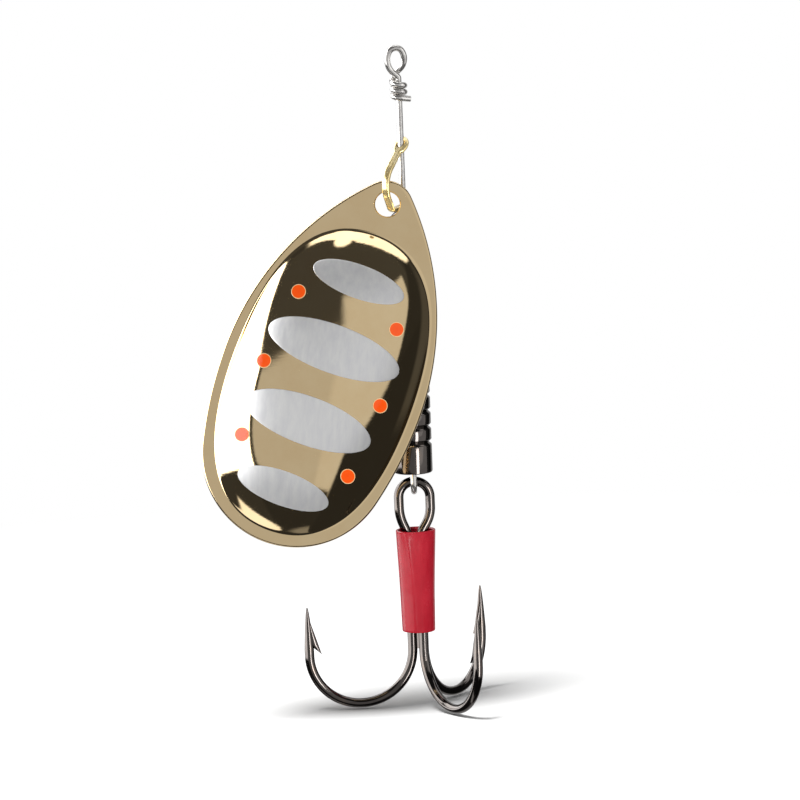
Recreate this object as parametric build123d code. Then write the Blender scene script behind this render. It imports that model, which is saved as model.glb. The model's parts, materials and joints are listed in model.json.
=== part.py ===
from build123d import *
from math import atan2, cos, degrees, hypot, radians, sin, sqrt, tan
import os

# In-line spinner with a French blade, hanging from its line eye.
# Millimetres. The shaft wire lies on the Z axis, and the origin is on that axis at the middle
# of the line eye. The convex face of the blade looks towards -Y.

# Driving dimensions ---------------------------------------------------------------------------

# Shaft wire
WIRE_D = 0.6
LINE_EYE_TOP = 1.2  # wire centre at the top of the eye
WRAP_PITCH = 0.64
WRAP_RADIUS = 0.56  # wire centre, a little under one wire so that the turns grip the shaft
WRAP_TOP_Z = -2.14
WRAP_TURNS = 2.32
LOWER_LOOP_R = 0.98  # wire centre
LOWER_LOOP_Z = -41.48  # middle of the lower loop
HOOK_PIN_Z = -41.48  # centre of the hook wire that hangs in the lower loop

# Clevis
CLEVIS_AZIMUTH = 237.5  # direction from the shaft to the blade's hole, seen from above
CLEVIS_THICKNESS = 0.45
CLEVIS_STRIP_WIDTH = 0.75
CLEVIS_EYE_D = 1.55
CLEVIS_HOLE_D = 0.9
CLEVIS_TOP_Z = -8.45  # middle of the upper eye
CLEVIS_BOTTOM_Z = -14.42  # middle of the lower eye
CLEVIS_REACH = 3.32

# Bearing bead and weight
BORE_D = 0.72
BEAD_TOP_Z = -14.72
BEAD_LENGTH = 2.78
BEAD_D = 3.0
WEIGHT_TOP_Z = -17.6
WEIGHT_BOTTOM_Z = -40.55
WEIGHT_D = 3.8
NOSE_D = 2.4
NOSE_LENGTH = 2.6
GROOVE_PITCH = 1.545
GROOVE_COUNT = 11
GROOVE_WIDTH = 0.5
GROOVE_DEPTH = 0.27
LOWEST_GROOVE_Z = -37.55

# Blade, measured in its own plane: v runs down from the tip, u to the right
BLADE_LENGTH = 37.2
BLADE_WIDTH = 20.2
BLADE_THICKNESS = 0.5
BLADE_WIDEST_V = 20.9
TIP_RADIUS = 2.64
BOTTOM_RADIUS = 9.22
BLADE_HOLE_V = 2.3
BLADE_HOLE_D = 2.4
BLADE_HOLE_AT = (-1.52, -1.93, -13.78)
BLADE_SWING = 11.0  # how far the blade stands off the shaft
BLADE_LEAN = 22.3  # how far it leans sideways in its own plane
DOME_V = 20.75
DOME_HALF_LENGTH = 15.2
DOME_HALF_WIDTH = 9.05
DOME_HEIGHT = 4.2
DOME_SQUARENESS = 0.052  # how much fuller than an ellipse the foot of the dome is

# Foil bars on the dome: (v, length across, width)
FOIL_BARS = ((10.4, 9.3, 3.3), (17.4, 13.4, 4.7), (24.8, 12.9, 4.7), (31.75, 9.3, 3.3))
FOIL_THICKNESS = 0.05
# Paint dots: (u, v)
DOTS = ((-5.15, 13.3), (5.05, 13.5), (-6.0, 20.75), (6.1, 21.0), (-5.55, 28.2), (5.5, 28.5))
DOT_D = 1.43

# Treble hook
HOOK_WIRE_D = 0.94
HOOK_RING_R = 1.52  # wire centre
SHANK_SPACING = 0.72  # shank centre from the hook's axis
SHANK_TOP_Z = -48.5
BEND_DEEPEST_AT = 5.95  # distance of the deepest point from the hook's axis
BEND_BOTTOM_Z = -63.2
LEG_REACH = 10.8  # point leg centre from the hook's axis
POINT_REACH = 10.88  # the tip stands a little outside its leg
POINT_Z = -53.55
PAIR_AZIMUTHS = (180, -59)
SINGLE_AZIMUTH = 56
BARB_TIP = (1.2, 4.65)  # inside the leg, below the tip

# Sleeve
SLEEVE_TOP_Z = -46.22
SLEEVE_BOTTOM_Z = -56.25
SLEEVE_TOP_D = 3.98
SLEEVE_BOTTOM_D = 3.4
SLEEVE_WALL = 0.45


# Shared helpers -------------------------------------------------------------------------------


def round_wire(path, diameter):
    """A round wire along a path."""
    section = Plane(origin=path @ 0, z_dir=path % 0) * Circle(diameter / 2)
    return sweep(section, path=path)


def bent(*points):
    """A path of straight runs and the largest arcs that fit between them."""
    corners = [Vector(*point) for point in points]
    radii = []
    for before, corner, after in zip(corners, corners[1:], corners[2:]):
        shorter = min((corner - before).length, (after - corner).length)
        turn = radians((corner - before).get_angle(after - corner))
        radii.append(0.47 * shorter / tan(turn / 2))
    return FilletPolyline(*corners, radius=radii)


def turned(profile):
    """A solid turned about the Z axis from a closed (radius, z) profile."""
    outline = make_face(Plane.XZ * Polyline(*profile, close=True))
    return revolve(outline, Axis.Z)


def tube(radius, low, high):
    """A plain cylinder on the Z axis, used for bores."""
    return Pos(0, 0, (low + high) / 2) * Cylinder(radius, high - low)


# Shaft wire -----------------------------------------------------------------------------------


def line_eye():
    """The wire leaves the shaft, goes round the eye, crosses behind itself and meets the wraps."""
    top = LINE_EYE_TOP
    path = bent(
        (0, 0, -1.95),
        (0, 0, -1.62),
        (-0.9, -0.1, -0.8),
        (-1.06, -0.04, 0.38),
        (-0.62, 0.04, top + 0.02),
        (0.28, 0.12, top + 0.02),
        (0.7, 0.22, 0.36),
        (0.5, 0.4, -0.62),
        (-0.42, 0.6, -1.45),
        (-0.6, 0.5, -2.04),
        (-WRAP_RADIUS, 0, WRAP_TOP_Z),
    )
    return round_wire(path, WIRE_D)


def wraps():
    """The close turns of wire that lock the line eye, and their cut end."""
    height = WRAP_TURNS * WRAP_PITCH
    end_angle = 180 + 360 * WRAP_TURNS
    coil = Helix(WRAP_PITCH, height, WRAP_RADIUS, lefthand=True)
    coil = Pos(0, 0, WRAP_TOP_Z - height) * Rot(0, 0, end_angle) * coil
    away = -(coil % 0)
    cut_end = Line(coil @ 0, (coil @ 0) + away * 0.9)
    return round_wire(coil, WIRE_D) + round_wire(cut_end, WIRE_D)


def lower_loop():
    """The loop that carries the hook. Its tail runs back up beside the shaft, in the weight."""
    width = LOWER_LOOP_R
    middle = LOWER_LOOP_Z
    down = FilletPolyline(
        (0, 0, -38.4),
        (0, 0, -39.1),
        (0, -width, -40.2),
        (0, -width, middle),
        radius=0.5,
    )
    under = ThreePointArc((0, -width, middle), (0, 0, middle - width), (0, width, middle))
    up = FilletPolyline(
        (0, width, middle),
        (0, width, -40.0),
        (0, WIRE_D + 0.02, -39.4),
        (0, WIRE_D + 0.02, -37.25),
        radius=0.5,
    )
    return round_wire(Wire([*down.edges(), *under.edges(), *up.edges()]), WIRE_D)


def shaft_wire():
    straight = tube(WIRE_D / 2, -38.4, -1.95)
    return straight + line_eye() + wraps() + lower_loop()


# Clevis ---------------------------------------------------------------------------------------


def clevis():
    """A stamped strip, bent to a C, with an eye at each end for the shaft."""
    path = FilletPolyline(
        (-1.1, 0, CLEVIS_TOP_Z + 1.0),
        (CLEVIS_REACH, 0, CLEVIS_TOP_Z - 2.8),
        (CLEVIS_REACH - 0.25, 0, -12.5),
        (CLEVIS_REACH - 1.2, 0, CLEVIS_BOTTOM_Z),
        (-1.1, 0, CLEVIS_BOTTOM_Z),
        radius=[1.6, 2.0, 0.6],
    )
    section = Plane(origin=path @ 0, x_dir=(0, 1, 0), z_dir=path % 0)
    strip = sweep(section * Rectangle(CLEVIS_EYE_D, CLEVIS_THICKNESS), path=path)
    middle_z = (CLEVIS_TOP_Z + CLEVIS_BOTTOM_Z) / 2
    waist = Pos(2, 0, middle_z) * Box(4, CLEVIS_STRIP_WIDTH, 12)
    eyes = Pos(0, 0, middle_z) * Cylinder(CLEVIS_EYE_D / 2, 12)
    holes = Pos(0, 0, middle_z) * Cylinder(CLEVIS_HOLE_D / 2, 12)
    body = strip & (waist + eyes)
    return Rot(0, 0, CLEVIS_AZIMUTH) * (body - holes)


# Bearing bead and weight ----------------------------------------------------------------------


def bearing_bead():
    """A round bead with small flats at its ends."""
    middle = BEAD_TOP_Z - BEAD_LENGTH / 2
    ball = Pos(0, 0, middle) * Sphere(BEAD_D / 2)
    ball &= Pos(0, 0, middle) * Box(BEAD_D, BEAD_D, BEAD_LENGTH)
    return ball - tube(BORE_D / 2, middle - BEAD_LENGTH, middle + BEAD_LENGTH)


def weight():
    """Turned weight with a rounded nose, a row of V grooves and a plain hollow skirt."""
    radius = WEIGHT_D / 2
    nose_z = WEIGHT_TOP_Z - NOSE_LENGTH
    nose = Bezier((radius, 0, nose_z), (radius, 0, nose_z + 1.6), (NOSE_D / 2, 0, WEIGHT_TOP_Z))
    back = Polyline(
        nose @ 1,
        (0, 0, WEIGHT_TOP_Z),
        (0, 0, WEIGHT_BOTTOM_Z),
        (radius, 0, WEIGHT_BOTTOM_Z),
        nose @ 0,
    )
    body = revolve(make_face(nose + back), Axis.Z)
    body = chamfer(body.edges().group_by(Axis.Z)[0], 0.15)
    half = GROOVE_WIDTH / 2
    for number in range(GROOVE_COUNT):
        z = LOWEST_GROOVE_Z + number * GROOVE_PITCH
        root = (radius - GROOVE_DEPTH, z)
        outside = ((radius, z + half), (radius + 1, z + half), (radius + 1, z - half), (radius, z - half))
        body -= turned((root, *outside))
    body -= tube(BORE_D / 2, WEIGHT_BOTTOM_Z - 1, WEIGHT_TOP_Z + 1)
    body -= tube(1.08, WEIGHT_BOTTOM_Z - 1, -37.2)
    body -= tube(1.42, WEIGHT_BOTTOM_Z - 1, -38.9)
    return body


# Blade ----------------------------------------------------------------------------------------


def blade_plane():
    """The blade's own plane: origin at its hole, X to the right, Y to the tip, Z out."""
    swing = radians(BLADE_SWING)
    lean = radians(BLADE_LEAN)
    right = (cos(lean), -sin(lean) * sin(swing), -sin(lean) * cos(swing))
    out = (0, -cos(swing), sin(swing))
    return Plane(origin=BLADE_HOLE_AT, x_dir=right, z_dir=out)


def at(u, v):
    """A point of the blade's plane from its distance right of the axis and below the tip."""
    return (u, BLADE_HOLE_V - v)


def flank(end_centre_v, end_radius):
    """Side arc that is tangent to an end arc and vertical where the blade is widest.

    Returns the arc's radius and the (u, v) point where it meets the end arc.
    """
    half = BLADE_WIDTH / 2
    drop = BLADE_WIDEST_V - end_centre_v
    radius = (half**2 + drop**2 - end_radius**2) / (2 * (half - end_radius))
    reach = hypot(radius - half, drop)
    meet_u = (half - radius) + radius * (radius - half) / reach
    meet_v = BLADE_WIDEST_V - radius * drop / reach
    return radius, (meet_u, meet_v)


def blade_outline():
    """Four tangent arcs a side: tip, upper flank, lower flank and bottom."""
    upper_radius, upper_meet = flank(TIP_RADIUS, TIP_RADIUS)
    lower_radius, lower_meet = flank(BLADE_LENGTH - BOTTOM_RADIUS, BOTTOM_RADIUS)
    half = BLADE_WIDTH / 2
    widest = (half, BLADE_WIDEST_V)

    def on_flank(radius, end):
        middle_v = (BLADE_WIDEST_V + end[1]) / 2
        u = half - radius + sqrt(radius**2 - (middle_v - BLADE_WIDEST_V) ** 2)
        return (u, middle_v)

    def side(sign):
        return (
            ThreePointArc(
                at(sign * upper_meet[0], upper_meet[1]),
                at(sign * on_flank(upper_radius, upper_meet)[0], on_flank(upper_radius, upper_meet)[1]),
                at(sign * widest[0], widest[1]),
            ),
            ThreePointArc(
                at(sign * widest[0], widest[1]),
                at(sign * on_flank(lower_radius, lower_meet)[0], on_flank(lower_radius, lower_meet)[1]),
                at(sign * lower_meet[0], lower_meet[1]),
            ),
        )

    tip = ThreePointArc(at(-upper_meet[0], upper_meet[1]), at(0, 0), at(*upper_meet))
    bottom = ThreePointArc(at(-lower_meet[0], lower_meet[1]), at(0, BLADE_LENGTH), at(*lower_meet))
    return make_face([tip, bottom, *side(1), *side(-1)])


def dome_drop(rho):
    """Share of the dome's height lost at rho: 0 at the crown, 1 at its foot."""
    return 0.5 * rho**2 + 0.5 * rho**5


def dome(grow, lift):
    """Solid under the dome: its foot is the dome's contour plus grow, raised by lift."""
    steps = 20
    sections = []
    for rho in (1.03, 1.0, 0.95, 0.88, 0.8, 0.7, 0.6, 0.5, 0.4, 0.3, 0.2, 0.12, 0.05):
        points = []
        for step in range(steps):
            angle = radians(360 * step / steps)
            reach = rho * (1 + DOME_SQUARENESS * sin(2 * angle) ** 2)
            u = (DOME_HALF_WIDTH + grow) * reach * cos(angle)
            v = DOME_V + (DOME_HALF_LENGTH + grow) * reach * sin(angle)
            points.append(at(u, v))
        height = lift + DOME_HEIGHT * (1 - dome_drop(rho))
        sections.append(Pos(0, 0, height) * make_face(Spline(*points, periodic=True)))
    return loft(sections)


def outer_dome():
    return dome(0, BLADE_THICKNESS / 2)


def blade():
    """Pressed sheet: a flat rim and tip round a deep egg-shaped dome."""
    plate = Pos(0, 0, -BLADE_THICKNESS / 2) * extrude(blade_outline(), BLADE_THICKNESS)
    plate = chamfer(plate.edges().filter_by(Plane.XY), 0.1)
    hole = Cylinder(BLADE_HOLE_D / 2, 4)
    steepest = radians(58)
    inner = dome(-BLADE_THICKNESS * tan(steepest / 2), -BLADE_THICKNESS / 2)
    return blade_plane() * (plate + outer_dome() - inner - hole)


def on_dome(outlines):
    """Skins of foil or paint on the dome, one for each flat outline."""
    skin = Pos(0, 0, FOIL_THICKNESS) * outer_dome() - outer_dome()
    pieces = []
    for outline in outlines:
        prism = extrude(outline, 10)
        pieces += (skin & prism).solids()
    return blade_plane() * Compound(children=pieces)


def foil_bars():
    return on_dome([Pos(*at(0, v)) * Ellipse(length / 2, width / 2) for v, length, width in FOIL_BARS])


def paint_dots():
    return on_dome([Pos(*at(*place)) * Circle(DOT_D / 2) for place in DOTS])


# Treble hook ----------------------------------------------------------------------------------


def radial(azimuth, reach, z):
    """A point in one hook's own plane, at a distance from the axis of the treble."""
    return (reach * cos(radians(azimuth)), reach * sin(radians(azimuth)), z)


def bend_edges(azimuth):
    """Straight shank, then two quarter turns down to the bend and up to the point leg."""
    near = BEND_DEEPEST_AT - SHANK_SPACING
    far = LEG_REACH - BEND_DEEPEST_AT
    near_z = BEND_BOTTOM_Z + near
    far_z = BEND_BOTTOM_Z + far
    short = 1 - sqrt(0.5)
    shank = Line(radial(azimuth, SHANK_SPACING, SHANK_TOP_Z), radial(azimuth, SHANK_SPACING, near_z))
    down = ThreePointArc(
        shank @ 1,
        radial(azimuth, SHANK_SPACING + near * short, near_z - near * sqrt(0.5)),
        radial(azimuth, BEND_DEEPEST_AT, BEND_BOTTOM_Z),
    )
    up = ThreePointArc(
        down @ 1,
        radial(azimuth, LEG_REACH - far * short, far_z - far * sqrt(0.5)),
        radial(azimuth, LEG_REACH, far_z),
    )
    leg = Line(up @ 1, radial(azimuth, LEG_REACH, POINT_Z - BARB_TIP[1]))
    return [*shank.edges(), *down.edges(), *up.edges(), *leg.edges()]


def point(azimuth):
    """Needle point whose inner side is cut straight from the tip to the end of the barb."""
    base_z = POINT_Z - BARB_TIP[1]
    rise = POINT_Z - base_z
    full = HOOK_WIRE_D / 2
    frame = Plane(origin=(LEG_REACH, 0, base_z - 0.06), z_dir=(POINT_REACH - LEG_REACH, 0, rise))
    needle = frame * Pos(0, 0, 0.95) * Cone(full, 0.34, 1.9)
    needle += frame * Pos(0, 0, 0.95 + rise / 2) * Cone(0.34, 0.03, rise - 1.9)
    wedge = Polyline(
        (POINT_REACH - 0.04, POINT_Z - 0.9),
        (LEG_REACH - BARB_TIP[0], POINT_Z - BARB_TIP[1]),
        (LEG_REACH - 0.55, POINT_Z - BARB_TIP[1] + 0.5),
        (LEG_REACH - 0.2, POINT_Z - BARB_TIP[1] + 0.9),
        close=True,
    )
    barb = extrude(make_face(Plane.XZ * wedge), 0.17, both=True)
    return Rot(0, 0, azimuth) * (needle + barb)


def leg_to_eye(azimuth, side):
    """The wire from a shank's top out to one side of the eye: straight runs and large arcs."""
    ring_z = HOOK_PIN_Z - HOOK_RING_R
    reach = side * HOOK_RING_R
    shank = radial(azimuth, SHANK_SPACING, SHANK_TOP_Z)
    return bent(
        shank,
        radial(azimuth, SHANK_SPACING, SHANK_TOP_Z + 1.75),
        (reach, 0, ring_z - 1.9),
        (reach, 0, ring_z),
    )


def hook_pair():
    """One wire: point, bend, leg, eye, leg, bend and point."""
    ring_z = HOOK_PIN_Z - HOOK_RING_R
    left, right = PAIR_AZIMUTHS
    over = ThreePointArc((-HOOK_RING_R, 0, ring_z), (0, 0, HOOK_PIN_Z), (HOOK_RING_R, 0, ring_z))
    up = leg_to_eye(left, -1).edges()
    down = leg_to_eye(right, 1).edges()
    hook = round_wire(Wire([*up, *over.edges(), *down]), HOOK_WIRE_D)
    for azimuth in PAIR_AZIMUTHS:
        hook += round_wire(Wire(bend_edges(azimuth)), HOOK_WIRE_D)
        hook += point(azimuth)
    return hook


def hook_single():
    """The third hook, brazed to the pair under the eye."""
    return round_wire(Wire(bend_edges(SINGLE_AZIMUTH)), HOOK_WIRE_D) + point(SINGLE_AZIMUTH)


def braze():
    """Braze that fills the core between the three shanks."""
    low = BEND_BOTTOM_Z + BEND_DEEPEST_AT - SHANK_SPACING
    corners = [radial(azimuth, SHANK_SPACING, low) for azimuth in (*PAIR_AZIMUTHS, SINGLE_AZIMUTH)]
    core = extrude(make_face(Polyline(*corners, close=True)), amount=SHANK_TOP_Z - low, dir=(0, 0, 1))
    for x, y, z in corners:
        core -= Pos(x, y, z) * Cylinder(HOOK_WIRE_D / 2, 40)
    return core


def sleeve():
    """Soft tube pushed over the legs, wider where the legs spread."""
    top = SLEEVE_TOP_D / 2
    bottom = SLEEVE_BOTTOM_D / 2
    return turned(
        (
            (top - SLEEVE_WALL, SLEEVE_TOP_Z),
            (top, SLEEVE_TOP_Z),
            (bottom, SLEEVE_BOTTOM_Z),
            (bottom - SLEEVE_WALL, SLEEVE_BOTTOM_Z),
        )
    )


# Parts ----------------------------------------------------------------------------------------

PARTS = {
    "shaft_wire": shaft_wire,
    "clevis": clevis,
    "bearing_bead": bearing_bead,
    "weight": weight,
    "blade": blade,
    "foil_bars": foil_bars,
    "paint_dots": paint_dots,
    "hook_pair": hook_pair,
    "hook_single": hook_single,
    "braze": braze,
    "sleeve": sleeve,
}

os.makedirs("parts", exist_ok=True)
for name, make in PARTS.items():
    export_step(make(), f"parts/{name}.step")
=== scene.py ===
import json
from itertools import accumulate
from math import cos, radians, sin, tan

import bmesh
import bpy
import numpy as np
from mathutils import Matrix, Vector

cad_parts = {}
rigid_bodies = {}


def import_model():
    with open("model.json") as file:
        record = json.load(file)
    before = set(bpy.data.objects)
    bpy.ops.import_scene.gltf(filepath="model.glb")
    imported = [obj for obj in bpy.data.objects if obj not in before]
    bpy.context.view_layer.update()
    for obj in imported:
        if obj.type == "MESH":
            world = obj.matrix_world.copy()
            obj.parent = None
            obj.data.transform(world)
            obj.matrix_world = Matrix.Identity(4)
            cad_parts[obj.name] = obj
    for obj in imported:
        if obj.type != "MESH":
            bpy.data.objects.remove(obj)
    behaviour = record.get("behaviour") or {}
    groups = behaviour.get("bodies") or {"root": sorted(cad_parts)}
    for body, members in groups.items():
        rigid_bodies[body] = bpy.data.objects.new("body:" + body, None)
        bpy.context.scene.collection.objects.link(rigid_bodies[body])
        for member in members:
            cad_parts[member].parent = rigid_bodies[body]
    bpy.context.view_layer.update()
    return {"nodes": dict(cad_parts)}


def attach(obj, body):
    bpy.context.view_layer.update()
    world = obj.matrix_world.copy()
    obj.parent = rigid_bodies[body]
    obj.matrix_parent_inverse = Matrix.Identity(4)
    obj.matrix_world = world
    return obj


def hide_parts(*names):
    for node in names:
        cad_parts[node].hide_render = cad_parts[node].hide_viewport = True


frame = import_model()
nodes = frame["nodes"]
MM = 0.001


# Sizes, in millimetres, the same as the solid model's but for the sleeve's drawn wall ------------

FLOOR_Z = -63.8

WIRE_D = 0.6
LINE_EYE_TOP = 1.2
WRAP_PITCH = 0.64
WRAP_RADIUS = 0.56
WRAP_TOP_Z = -2.14
WRAP_TURNS = 2.32
LOWER_LOOP_R = 0.98
LOWER_LOOP_Z = -41.48
HOOK_PIN_Z = -41.48

CLEVIS_AZIMUTH = 237.5
CLEVIS_THICKNESS = 0.45
CLEVIS_STRIP_WIDTH = 0.75
CLEVIS_EYE_D = 1.55
CLEVIS_HOLE_D = 0.9
CLEVIS_TOP_Z = -8.45
CLEVIS_BOTTOM_Z = -14.42
CLEVIS_REACH = 3.32

BORE_D = 0.72
BEAD_TOP_Z = -14.72
BEAD_LENGTH = 2.78
BEAD_D = 3.0
WEIGHT_TOP_Z = -17.6
WEIGHT_BOTTOM_Z = -40.55
WEIGHT_D = 3.8
NOSE_D = 2.4
NOSE_LENGTH = 2.6
GROOVE_PITCH = 1.545
GROOVE_COUNT = 11
GROOVE_WIDTH = 0.5
GROOVE_DEPTH = 0.27
GROOVE_EASE = 0.05
LOWEST_GROOVE_Z = -37.55

BLADE_LENGTH = 37.2
BLADE_WIDTH = 20.2
BLADE_THICKNESS = 0.5
BLADE_EDGE_ROUND = 0.22
DOME_WALL = 0.28  # how much smaller the dome is inside
WIDEST_V = 20.9
TIP_RADIUS = 2.64
BOTTOM_RADIUS = 9.22
HOLE_V = 2.3
HOLE_RADIUS = 1.2
HOLE_AT = np.array((-1.52, -1.93, -13.78))
SWING = radians(11)
LEAN = radians(22.3)
DOME_V = 20.75
DOME_HALF_LENGTH = 15.2
DOME_HALF_WIDTH = 9.05
DOME_HEIGHT = 4.2
DOME_SQUARENESS = 0.052
FOOT_SOFTNESS = 0.13  # how far the foot of the dome runs out into the rim
FOIL_BARS = ((10.4, 9.3, 3.3), (17.4, 13.4, 4.7), (24.8, 12.9, 4.7), (31.75, 9.3, 3.3))
DOTS = ((-5.15, 13.3), (5.05, 13.5), (-6.0, 20.75), (6.1, 21.0), (-5.55, 28.2), (5.5, 28.5))
DOT_RADIUS = 0.715
FOIL_LIFT = 0.035
PAINT_LIFT = 0.045

HOOK_WIRE_D = 0.94
HOOK_RING_R = 1.52
SHANK_SPACING = 0.72
SHANK_TOP_Z = -48.5
HOOK_STEP = 0.12  # length of wire between two rings
BEND_DEEPEST_AT = 5.95
BEND_BOTTOM_Z = -63.2
LEG_REACH = 10.8
POINT_REACH = 10.88
POINT_Z = -53.55
BARB_IN, BARB_DOWN = 1.2, 4.65
PAIR_AZIMUTHS = (180, -59)
SINGLE_AZIMUTH = 56

SLEEVE_TOP_Z = -46.22
SLEEVE_BOTTOM_Z = -56.25
SLEEVE_TOP_D = 3.98
SLEEVE_BOTTOM_D = 3.4
SLEEVE_LIP = 0.1
SLEEVE_WALL = 0.45
SLEEVE_RIM_SHARE = 0.55  # the drawn wall is this share of the solid's, for a thin rim


# Mesh helpers ------------------------------------------------------------------------------------


def skin(name, rings, body, node_names, looped=False, crease=30):
    """A closed surface through a stack of rings, an array of (ring, step round, xyz) in mm.

    Neighbouring rings are joined by quads. Each end ring is closed by a fan to its own middle, or
    the last ring is joined to the first where the stack is looped."""
    count, steps = rings.shape[:2]
    here = np.arange(steps)[None, :]
    after = (here + 1) % steps
    row = np.arange(count if looped else count - 1)[:, None] * steps
    above = (row + steps) % (count * steps)
    quads = np.stack((row + here, row + after, above + after, above + here), -1).reshape(-1, 4)
    points, faces = rings.reshape(-1, 3), quads.tolist()
    if not looped:
        last = (count - 1) * steps
        points = np.vstack((points, rings[0].mean(0), rings[-1].mean(0)))
        faces += np.stack((np.full(steps, count * steps), after[0], here[0]), -1).tolist()
        faces += np.stack((np.full(steps, count * steps + 1), last + here[0], last + after[0]), -1).tolist()
    mesh = bpy.data.meshes.new(name)
    mesh.from_pydata((points * MM).tolist(), [], faces)
    work = bmesh.new()
    work.from_mesh(mesh)
    bmesh.ops.recalc_face_normals(work, faces=work.faces)
    work.to_mesh(mesh)
    work.free()
    mesh.shade_smooth()
    mesh.set_sharp_from_angle(angle=radians(crease))
    piece = bpy.data.objects.new(name, mesh)
    bpy.context.scene.collection.objects.link(piece)
    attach(piece, body)
    if node_names:
        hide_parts(*node_names)
    return piece


def bored(piece, cutter, crease=30):
    """The piece with the cutter taken out of it."""
    boolean = piece.modifiers.new("bore", "BOOLEAN")
    boolean.object = cutter
    boolean.operation = "DIFFERENCE"
    boolean.solver = "EXACT"
    bpy.context.view_layer.update()
    made = bpy.data.meshes.new_from_object(piece.evaluated_get(bpy.context.evaluated_depsgraph_get()))
    piece.modifiers.clear()
    piece.data = made
    bpy.data.objects.remove(cutter)
    made.shade_smooth()
    made.set_sharp_from_angle(angle=radians(crease))
    return piece


def unit(vector):
    """The same direction, one long."""
    return vector / np.linalg.norm(vector)


def bent(*corners, radii=None):
    """Straight runs joined by arcs that are tangent to both.

    An arc of radius r fills a corner that turns by a, from r tan(a / 2) before it to as much after."""
    corners = [np.array(corner, float) for corner in corners]
    points = [corners[:1]]
    for number, (before, corner, after) in enumerate(zip(corners, corners[1:], corners[2:])):
        back, on = unit(before - corner), unit(after - corner)
        turn = np.pi - np.arccos(np.clip(back @ on, -1, 1))
        shorter = min(np.linalg.norm(before - corner), np.linalg.norm(after - corner))
        radius = radii[number] if radii else 0.47 * shorter / tan(turn / 2)
        centre = corner + unit(back + on) * radius / cos(turn / 2)
        start = corner + back * radius * tan(turn / 2) - centre
        end = corner + on * radius * tan(turn / 2) - centre
        t = np.linspace(0, 1, 24)[:, None]
        points.append(centre + (np.sin((1 - t) * turn) * start + np.sin(t * turn) * end) / sin(turn))
    return np.vstack(points + [corners[-1:]])


def arc(centre, radius, low, high, flat, up=(0, 0, 1)):
    """Part of a circle in the plane of flat and up, from one angle to another in degrees."""
    angle = np.radians(np.linspace(low, high, 60))[:, None]
    across, upward = np.array(flat, float), np.array(up, float)
    return np.array(centre, float) + radius * (np.cos(angle) * across + np.sin(angle) * upward)


def even(path, spacing):
    """The same path with its points an even distance apart."""
    step = np.linalg.norm(np.diff(path, axis=0), axis=1)
    path = path[np.concatenate(([True], step > 1e-6))]
    run = np.concatenate(([0], np.cumsum(np.linalg.norm(np.diff(path, axis=0), axis=1))))
    places = np.linspace(0, run[-1], int(run[-1] / spacing) + 2)
    return np.stack([np.interp(places, run, path[:, axis]) for axis in range(3)], -1)


def along(path, across, out, side):
    """A closed section carried along a path: across and out are its two coordinates, (station, step).

    Each station's frame is the one before it, turned only as far as the path turns there."""
    ahead = np.gradient(path, axis=0)
    ahead /= np.linalg.norm(ahead, axis=1, keepdims=True)
    start = unit(np.cross(np.cross(ahead[0], side), ahead[0]))
    level = np.array(list(accumulate(ahead, lambda last, t: unit(last - (last @ t) * t), initial=start)))[1:]
    proud = np.cross(ahead, level)
    return path[:, None] + across[..., None] * level[:, None] + out[..., None] * proud[:, None]


def wire(path, radius, side, steps=24):
    """A round wire along a path, of one radius or of one at each station."""
    turn = np.linspace(0, 2 * np.pi, steps, endpoint=False)
    radius = np.broadcast_to(radius, len(path))[:, None]
    return along(path, radius * np.cos(turn), radius * np.sin(turn), side)


def lathe(profile, steps=96):
    """A closed (radius, z) profile turned about the axis of the shaft."""
    turn = np.linspace(0, 2 * np.pi, steps, endpoint=False)
    r, z = profile[:, :1], profile[:, 1:]
    return np.stack((r * np.cos(turn), r * np.sin(turn), np.repeat(z, steps, 1)), -1)


# Materials ---------------------------------------------------------------------------------------


def colour(code):
    """An sRGB hex value as linear red, green, blue and 1."""
    parts = [int(code[i : i + 2], 16) / 255 for i in (1, 3, 5)]
    return [c / 12.92 if c <= 0.04045 else ((c + 0.055) / 1.055) ** 2.4 for c in parts] + [1.0]


def feed(node, **links):
    """Sets or connects a node's inputs. An input's name is written with _ for a space, or as i0, i1
    for its number. A node given as a value stands for its first output."""
    for key, value in links.items():
        by_number = key[0] == "i" and key[1:].isdigit()
        socket = node.inputs[int(key[1:]) if by_number else key.replace("_", " ")]
        if isinstance(value, bpy.types.Node):
            value = value.outputs[0]
        if isinstance(value, bpy.types.NodeSocket):
            node.id_data.links.new(value, socket)
        else:
            socket.default_value = value
    return node


def add(tree, kind, settings=None, stops=(), **links):
    """A node of that kind, with its own settings, its colour stops of (place, hex) and its inputs."""
    node = tree.nodes.new(kind)
    for key, value in (settings or {}).items():
        setattr(node, key, value)
    for number, (place, code) in enumerate(stops):
        band = node.color_ramp.elements
        stop = band[number] if number < len(band) else band.new(place)
        stop.position = place
        stop.color = colour(code)
    return feed(node, **links)


def material(name, base, metallic, roughness):
    """A new material with its shader, and the coordinates of the object."""
    made = bpy.data.materials.new(name)
    made.use_nodes = True
    tree = made.node_tree
    shader = tree.nodes["Principled BSDF"]
    shader.inputs["Base Color"].default_value = colour(base)
    shader.inputs["Metallic"].default_value = metallic
    shader.inputs["Roughness"].default_value = roughness
    place = add(tree, "ShaderNodeTexCoord").outputs["Object"]
    return made, tree, shader, place


def grain(tree, place, size, turn=(0, 0, 0), detail=2.0, rough=0.5):
    """Noise whose grain measures size millimetres along each axis, after a turn of the pattern."""
    scale = [1000 / s for s in size]
    laid = add(tree, "ShaderNodeMapping", {"vector_type": "POINT"}, Vector=place, Rotation=turn)
    fitted = add(tree, "ShaderNodeVectorMath", {"operation": "MULTIPLY"}, i0=laid, i1=scale)
    return add(tree, "ShaderNodeTexNoise", Vector=fitted, Scale=1.0, Detail=detail, Roughness=rough)


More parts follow.
